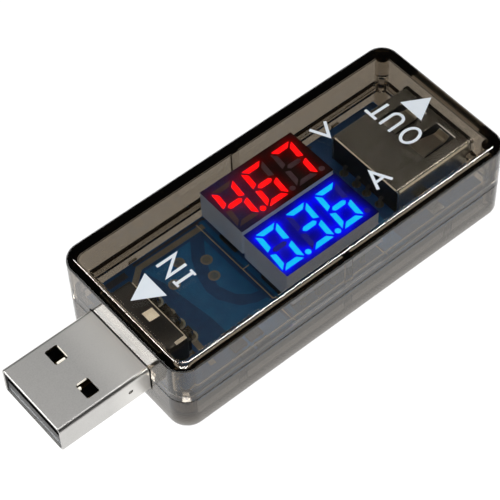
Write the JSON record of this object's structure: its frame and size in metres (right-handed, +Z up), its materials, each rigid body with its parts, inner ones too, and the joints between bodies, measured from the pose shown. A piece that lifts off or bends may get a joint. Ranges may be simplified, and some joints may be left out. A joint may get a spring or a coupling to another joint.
{
  "type": "usb power meter",
  "caption": "In-line USB power meter: smoked two-part housing with a plug at one end, a socket at the other and a red and a blue three-digit display side by side on a blue board.",
  "frame": {"origin": "under the middle of the whole meter, plug included, on the surface that it lies on", "axes": "+X from the plug (input) to the socket (output), +Y across the displays towards the volt display, +Z up through the display faces"},
  "size_m": [0.0688, 0.0244, 0.013],
  "materials": {
    "smoked_housing": "smoke-tinted clear plastic, polished outside, with a dark edge where it is thick",
    "board": "blue solder mask over glass-fibre laminate, satin",
    "plug_steel": "bright nickel-plated sheet, satin",
    "socket_steel": "nickel-plated sheet, satin, with stamped edges",
    "contact_gold": "gold-flashed copper alloy",
    "terminal_tin": "tinned copper alloy",
    "pale_resin": "moulded insulator, pale grey",
    "black_resin": "moulded black resin, fine matte",
    "display_white": "off-white moulded reflector case with a black printed face",
    "display_face": "black ink film on the display's face",
    "display_circuit": "thin laminate with tinned leads",
    "legend_ink": "white printed ink",
    "solder": "bright solder and tinned pads",
    "capacitor_ceramic": "brown ceramic with tinned ends",
    "resistor_ceramic": "black-coated ceramic with tinned ends",
    "led_red": "red-lit diffusing resin",
    "led_blue": "blue-lit diffusing resin"
  },
  "bodies": {
    "housing": {"bottom_shell": "smoked_housing", "top_shell": "smoked_housing", "main_board": "board", "plug_shell": "plug_steel", "plug_insulator": "pale_resin", "plug_contact_1": "contact_gold", "plug_contact_2": "contact_gold", "plug_contact_3": "contact_gold", "plug_contact_4": "contact_gold", "socket_shell": "socket_steel", "socket_insulator": "black_resin", "socket_terminal_1": "terminal_tin", "socket_terminal_2": "terminal_tin", "socket_terminal_3": "terminal_tin", "socket_terminal_4": "terminal_tin", "volt_display_case": "display_white", "volt_display_diffuser": "led_red", "volt_display_circuit": "display_circuit", "amp_display_case": "display_white", "amp_display_diffuser": "led_blue", "amp_display_circuit": "display_circuit", "controller_chip": "black_resin", "voltage_regulator": "black_resin", "shunt_resistor": "resistor_ceramic", "input_capacitor": "capacitor_ceramic", "output_capacitor": "capacitor_ceramic", "resistor_1": "resistor_ceramic", "resistor_2": "resistor_ceramic", "resistor_3": "resistor_ceramic", "resistor_4": "resistor_ceramic"},
    "socket_spring_top_left": {"socket_spring_top_left": "socket_steel"},
    "socket_spring_top_right": {"socket_spring_top_right": "socket_steel"},
    "socket_spring_bottom_left": {"socket_spring_bottom_left": "socket_steel"},
    "socket_spring_bottom_right": {"socket_spring_bottom_right": "socket_steel"},
    "socket_contact_1": {"socket_contact_1": "contact_gold"},
    "socket_contact_2": {"socket_contact_2": "contact_gold"},
    "socket_contact_3": {"socket_contact_3": "contact_gold"},
    "socket_contact_4": {"socket_contact_4": "contact_gold"}
  },
  "joints": [
    {"name": "spring_top_left_flex", "type": "hinge", "parent": "housing", "child": "socket_spring_top_left", "pos_m": [0.02655, 0.00275, 0.0081], "axis": [0, -1, 0], "range_deg": [0, 5], "stiffness_Nm_per_rad": 0.15},
    {"name": "spring_top_right_flex", "type": "hinge", "parent": "housing", "child": "socket_spring_top_right", "pos_m": [0.02655, -0.00275, 0.0081], "axis": [0, -1, 0], "range_deg": [0, 5], "stiffness_Nm_per_rad": 0.15},
    {"name": "spring_bottom_left_flex", "type": "hinge", "parent": "housing", "child": "socket_spring_bottom_left", "pos_m": [0.02655, 0.00275, 0.0027], "axis": [0, 1, 0], "range_deg": [0, 5], "stiffness_Nm_per_rad": 0.15},
    {"name": "spring_bottom_right_flex", "type": "hinge", "parent": "housing", "child": "socket_spring_bottom_right", "pos_m": [0.02655, -0.00275, 0.0027], "axis": [0, 1, 0], "range_deg": [0, 5], "stiffness_Nm_per_rad": 0.15},
    {"name": "contact_1_flex", "type": "hinge", "parent": "housing", "child": "socket_contact_1", "pos_m": [0.02325, 0.0035, 0.00575], "axis": [0, -1, 0], "range_deg": [0, 2.5], "stiffness_Nm_per_rad": 0.1},
    {"name": "contact_2_flex", "type": "hinge", "parent": "housing", "child": "socket_contact_2", "pos_m": [0.02325, 0.001, 0.00575], "axis": [0, -1, 0], "range_deg": [0, 2.5], "stiffness_Nm_per_rad": 0.1},
    {"name": "contact_3_flex", "type": "hinge", "parent": "housing", "child": "socket_contact_3", "pos_m": [0.02325, -0.001, 0.00575], "axis": [0, -1, 0], "range_deg": [0, 2.5], "stiffness_Nm_per_rad": 0.1},
    {"name": "contact_4_flex", "type": "hinge", "parent": "housing", "child": "socket_contact_4", "pos_m": [0.02325, -0.0035, 0.00575], "axis": [0, -1, 0], "range_deg": [0, 2.5], "stiffness_Nm_per_rad": 0.1}
  ]
}
